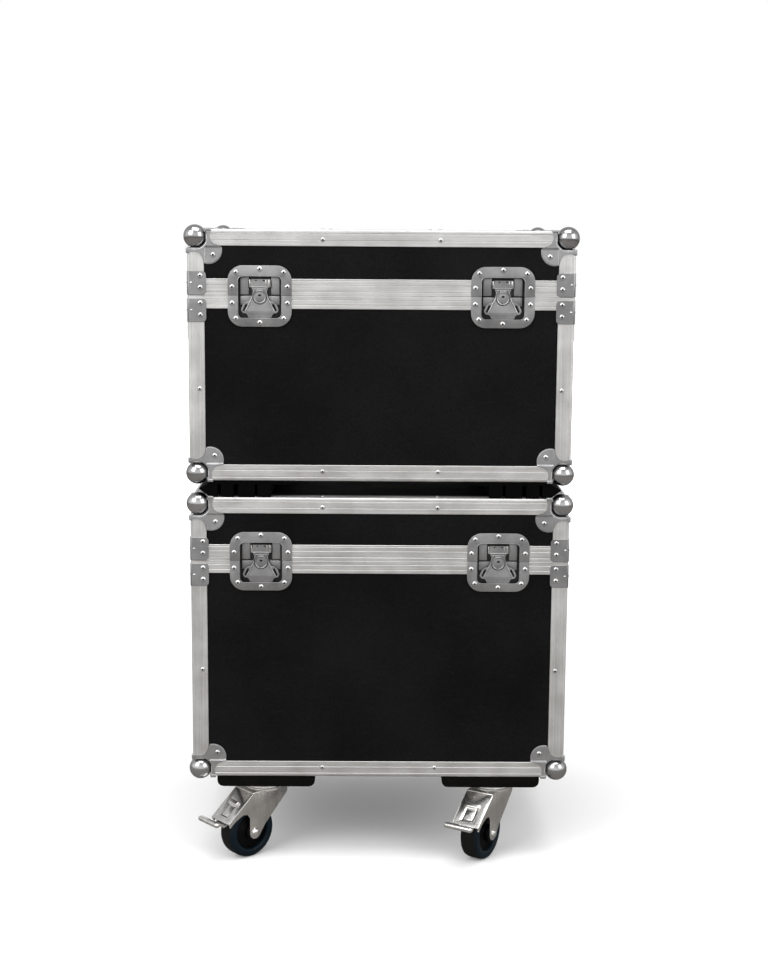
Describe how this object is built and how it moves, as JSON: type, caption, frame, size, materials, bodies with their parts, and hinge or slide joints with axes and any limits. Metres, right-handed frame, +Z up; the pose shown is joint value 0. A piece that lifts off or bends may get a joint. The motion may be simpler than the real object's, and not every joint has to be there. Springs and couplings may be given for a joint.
{
  "type": "tool flight case",
  "caption": "Two stacked latching road cases for tools, black panels in aluminium edging with ball corners, on braked swivel castors.",
  "frame": {"origin": "middle of the bounding box, at floor level under the castor wheels", "axes": "+Z up, -Y is the front with the latches, +X is the right-hand side seen from the front"},
  "size_m": [0.6954, 0.6976, 1.1639],
  "materials": {
    "black_laminate": "black laminate on plywood, fine grain, satin",
    "edge_aluminium": "extruded and brushed, with fine scratches",
    "zinc_plate": "zinc plated pressed steel, satin",
    "bright_steel": "bright zinc plated steel",
    "black_rubber": "matt moulded rubber",
    "tyre_rubber": "dark blue black elastic tyre on a black hub"
  },
  "bodies": {
    "lower_base": {"lower_base_panels": "black_laminate", "lower_base_frame": "edge_aluminium", "lower_left_latch_dish": "zinc_plate", "lower_left_handle_dish": "zinc_plate", "lower_left_hinge_leaf": "bright_steel", "lower_right_latch_dish": "zinc_plate", "lower_right_handle_dish": "zinc_plate", "lower_right_hinge_leaf": "bright_steel", "left_castor_board": "black_laminate", "right_castor_board": "black_laminate", "front_left_castor_plate": "bright_steel", "front_right_castor_plate": "bright_steel", "rear_left_castor_plate": "bright_steel", "rear_right_castor_plate": "bright_steel"},
    "lower_lid": {"lower_lid_panels": "black_laminate", "lower_lid_frame": "edge_aluminium", "lower_left_latch_keeper": "zinc_plate", "lower_right_latch_keeper": "zinc_plate"},
    "upper_base": {"upper_base_panels": "black_laminate", "upper_base_frame": "edge_aluminium", "upper_left_latch_dish": "zinc_plate", "upper_left_handle_dish": "zinc_plate", "upper_left_hinge_leaf": "bright_steel", "upper_right_latch_dish": "zinc_plate", "upper_right_handle_dish": "zinc_plate", "upper_right_hinge_leaf": "bright_steel", "left_stacking_runner": "black_rubber", "right_stacking_runner": "black_rubber"},
    "upper_lid": {"upper_lid_panels": "black_laminate", "upper_lid_frame": "edge_aluminium", "upper_left_latch_keeper": "zinc_plate", "upper_right_latch_keeper": "zinc_plate"},
    "lower_left_latch_boss": {"lower_left_latch_boss": "zinc_plate"},
    "lower_left_latch_wing": {"lower_left_latch_wing": "zinc_plate"},
    "lower_left_latch_claw": {"lower_left_latch_claw": "zinc_plate"},
    "lower_left_handle_bail": {"lower_left_handle_bail": "bright_steel"},
    "lower_right_latch_boss": {"lower_right_latch_boss": "zinc_plate"},
    "lower_right_latch_wing": {"lower_right_latch_wing": "zinc_plate"},
    "lower_right_latch_claw": {"lower_right_latch_claw": "zinc_plate"},
    "lower_right_handle_bail": {"lower_right_handle_bail": "bright_steel"},
    "upper_left_latch_boss": {"upper_left_latch_boss": "zinc_plate"},
    "upper_left_latch_wing": {"upper_left_latch_wing": "zinc_plate"},
    "upper_left_latch_claw": {"upper_left_latch_claw": "zinc_plate"},
    "upper_left_handle_bail": {"upper_left_handle_bail": "bright_steel"},
    "upper_right_latch_boss": {"upper_right_latch_boss": "zinc_plate"},
    "upper_right_latch_wing": {"upper_right_latch_wing": "zinc_plate"},
    "upper_right_latch_claw": {"upper_right_latch_claw": "zinc_plate"},
    "upper_right_handle_bail": {"upper_right_handle_bail": "bright_steel"},
    "front_left_castor_fork": {"front_left_castor_fork": "bright_steel"},
    "front_left_castor_wheel": {"front_left_castor_wheel": "tyre_rubber"},
    "front_left_castor_pedal": {"front_left_castor_pedal": "bright_steel"},
    "front_right_castor_fork": {"front_right_castor_fork": "bright_steel"},
    "front_right_castor_wheel": {"front_right_castor_wheel": "tyre_rubber"},
    "front_right_castor_pedal": {"front_right_castor_pedal": "bright_steel"},
    "rear_left_castor_fork": {"rear_left_castor_fork": "bright_steel"},
    "rear_left_castor_wheel": {"rear_left_castor_wheel": "tyre_rubber"},
    "rear_left_castor_pedal": {"rear_left_castor_pedal": "bright_steel"},
    "rear_right_castor_fork": {"rear_right_castor_fork": "bright_steel"},
    "rear_right_castor_wheel": {"rear_right_castor_wheel": "tyre_rubber"},
    "rear_right_castor_pedal": {"rear_right_castor_pedal": "bright_steel"}
  },
  "joints": [
    {"name": "upper_case_lift", "type": "slide", "parent": "lower_base", "child": "upper_base", "axis": [0, 0, 1], "range_m": [0, 1]},
    {"name": "lower_lid_hinge", "type": "hinge", "parent": "lower_base", "child": "lower_lid", "pos_m": [0, 0.2868, 0.56675], "axis": [-1, 0, 0], "range_deg": [0, 100]},
    {"name": "lower_left_latch_turn", "type": "hinge", "parent": "lower_base", "child": "lower_left_latch_boss", "pos_m": [-0.2135, -0.28, 0.564], "axis": [0, 1, 0], "range_deg": [0, 180]},
    {"name": "lower_left_wing_flip", "type": "hinge", "parent": "lower_left_latch_boss", "child": "lower_left_latch_wing", "pos_m": [-0.2135, -0.2792, 0.5775], "axis": [-1, 0, 0], "range_deg": [0, 90]},
    {"name": "lower_left_claw_slide", "type": "slide", "parent": "lower_base", "child": "lower_left_latch_claw", "axis": [0, 0, 1], "range_m": [0, 0.006]},
    {"name": "lower_left_handle_swing", "type": "hinge", "parent": "lower_base", "child": "lower_left_handle_bail", "pos_m": [-0.3308, 0, 0.4335], "axis": [0, 1, 0], "range_deg": [0, 90]},
    {"name": "lower_right_latch_turn", "type": "hinge", "parent": "lower_base", "child": "lower_right_latch_boss", "pos_m": [0.2135, -0.28, 0.564], "axis": [0, 1, 0], "range_deg": [0, 180]},
    {"name": "lower_right_wing_flip", "type": "hinge", "parent": "lower_right_latch_boss", "child": "lower_right_latch_wing", "pos_m": [0.2135, -0.2792, 0.5775], "axis": [-1, 0, 0], "range_deg": [0, 90]},
    {"name": "lower_right_claw_slide", "type": "slide", "parent": "lower_base", "child": "lower_right_latch_claw", "axis": [0, 0, 1], "range_m": [0, 0.006]},
    {"name": "lower_right_handle_swing", "type": "hinge", "parent": "lower_base", "child": "lower_right_handle_bail", "pos_m": [0.3308, 0, 0.4335], "axis": [0, -1, 0], "range_deg": [0, 90]},
    {"name": "upper_lid_hinge", "type": "hinge", "parent": "upper_base", "child": "upper_lid", "pos_m": [0, 0.2868, 1.04105], "axis": [-1, 0, 0], "range_deg": [0, 100]},
    {"name": "upper_left_latch_turn", "type": "hinge", "parent": "upper_base", "child": "upper_left_latch_boss", "pos_m": [-0.2135, -0.28, 1.0383], "axis": [0, 1, 0], "range_deg": [0, 180]},
    {"name": "upper_left_wing_flip", "type": "hinge", "parent": "upper_left_latch_boss", "child": "upper_left_latch_wing", "pos_m": [-0.2135, -0.2792, 1.0518], "axis": [-1, 0, 0], "range_deg": [0, 90]},
    {"name": "upper_left_claw_slide", "type": "slide", "parent": "upper_base", "child": "upper_left_latch_claw", "axis": [0, 0, 1], "range_m": [0, 0.006]},
    {"name": "upper_left_handle_swing", "type": "hinge", "parent": "upper_base", "child": "upper_left_handle_bail", "pos_m": [-0.3308, 0, 0.9378], "axis": [0, 1, 0], "range_deg": [0, 90]},
    {"name": "upper_right_latch_turn", "type": "hinge", "parent": "upper_base", "child": "upper_right_latch_boss", "pos_m": [0.2135, -0.28, 1.0383], "axis": [0, 1, 0], "range_deg": [0, 180]},
    {"name": "upper_right_wing_flip", "type": "hinge", "parent": "upper_right_latch_boss", "child": "upper_right_latch_wing", "pos_m": [0.2135, -0.2792, 1.0518], "axis": [-1, 0, 0], "range_deg": [0, 90]},
    {"name": "upper_right_claw_slide", "type": "slide", "parent": "upper_base", "child": "upper_right_latch_claw", "axis": [0, 0, 1], "range_m": [0, 0.006]},
    {"name": "upper_right_handle_swing", "type": "hinge", "parent": "upper_base", "child": "upper_right_handle_bail", "pos_m": [0.3308, 0, 0.9378], "axis": [0, -1, 0], "range_deg": [0, 90]},
    {"name": "front_left_castor_swivel", "type": "hinge", "parent": "lower_base", "child": "front_left_castor_fork", "pos_m": [-0.2135, -0.2205, 0.135], "axis": [0, 0, 1], "continuous": true},
    {"name": "front_left_castor_wheel_spin", "type": "hinge", "parent": "front_left_castor_fork", "child": "front_left_castor_wheel", "pos_m": [-0.24466, -0.24806, 0.05], "axis": [0.6626, -0.749, 0], "continuous": true},
    {"name": "front_left_castor_brake_press", "type": "hinge", "parent": "front_left_castor_fork", "child": "front_left_castor_pedal", "pos_m": [-0.28128, -0.28047, 0.0785], "axis": [0.6626, -0.749, 0], "range_deg": [0, 12]},
    {"name": "front_right_castor_swivel", "type": "hinge", "parent": "lower_base", "child": "front_right_castor_fork", "pos_m": [0.2135, -0.2205, 0.135], "axis": [0, 0, 1], "continuous": true},
    {"name": "front_right_castor_wheel_spin", "type": "hinge", "parent": "front_right_castor_fork", "child": "front_right_castor_wheel", "pos_m": [0.19146, -0.25578, 0.05], "axis": [0.848, -0.5299, 0], "continuous": true},
    {"name": "front_right_castor_brake_press", "type": "hinge", "parent": "front_right_castor_fork", "child": "front_right_castor_pedal", "pos_m": [0.16554, -0.29725, 0.0785], "axis": [0.848, -0.5299, 0], "range_deg": [0, 12]},
    {"name": "rear_left_castor_swivel", "type": "hinge", "parent": "lower_base", "child": "rear_left_castor_fork", "pos_m": [-0.2135, 0.2205, 0.135], "axis": [0, 0, 1], "continuous": true},
    {"name": "rear_left_castor_wheel_spin", "type": "hinge", "parent": "rear_left_castor_fork", "child": "rear_left_castor_wheel", "pos_m": [-0.24466, 0.24806, 0.05], "axis": [-0.6626, -0.749, 0], "continuous": true},
    {"name": "rear_left_castor_brake_press", "type": "hinge", "parent": "rear_left_castor_fork", "child": "rear_left_castor_pedal", "pos_m": [-0.28128, 0.28047, 0.0785], "axis": [-0.6626, -0.749, 0], "range_deg": [0, 12]},
    {"name": "rear_right_castor_swivel", "type": "hinge", "parent": "lower_base", "child": "rear_right_castor_fork", "pos_m": [0.2135, 0.2205, 0.135], "axis": [0, 0, 1], "continuous": true},
    {"name": "rear_right_castor_wheel_spin", "type": "hinge", "parent": "rear_right_castor_fork", "child": "rear_right_castor_wheel", "pos_m": [0.19146, 0.25578, 0.05], "axis": [-0.848, -0.5299, 0], "continuous": true},
    {"name": "rear_right_castor_brake_press", "type": "hinge", "parent": "rear_right_castor_fork", "child": "rear_right_castor_pedal", "pos_m": [0.16554, 0.29725, 0.0785], "axis": [-0.848, -0.5299, 0], "range_deg": [0, 12]}
  ],
  "couplings": [
    {"joint": "lower_left_claw_slide", "follows": "lower_left_latch_turn", "m_per_rad": 0.0019},
    {"joint": "lower_right_claw_slide", "follows": "lower_right_latch_turn", "m_per_rad": 0.0019},
    {"joint": "upper_left_claw_slide", "follows": "upper_left_latch_turn", "m_per_rad": 0.0019},
    {"joint": "upper_right_claw_slide", "follows": "upper_right_latch_turn", "m_per_rad": 0.0019},
    {"joint": "lower_lid_hinge", "follows": "upper_case_lift", "rad_per_m": 1.74}
  ]
}
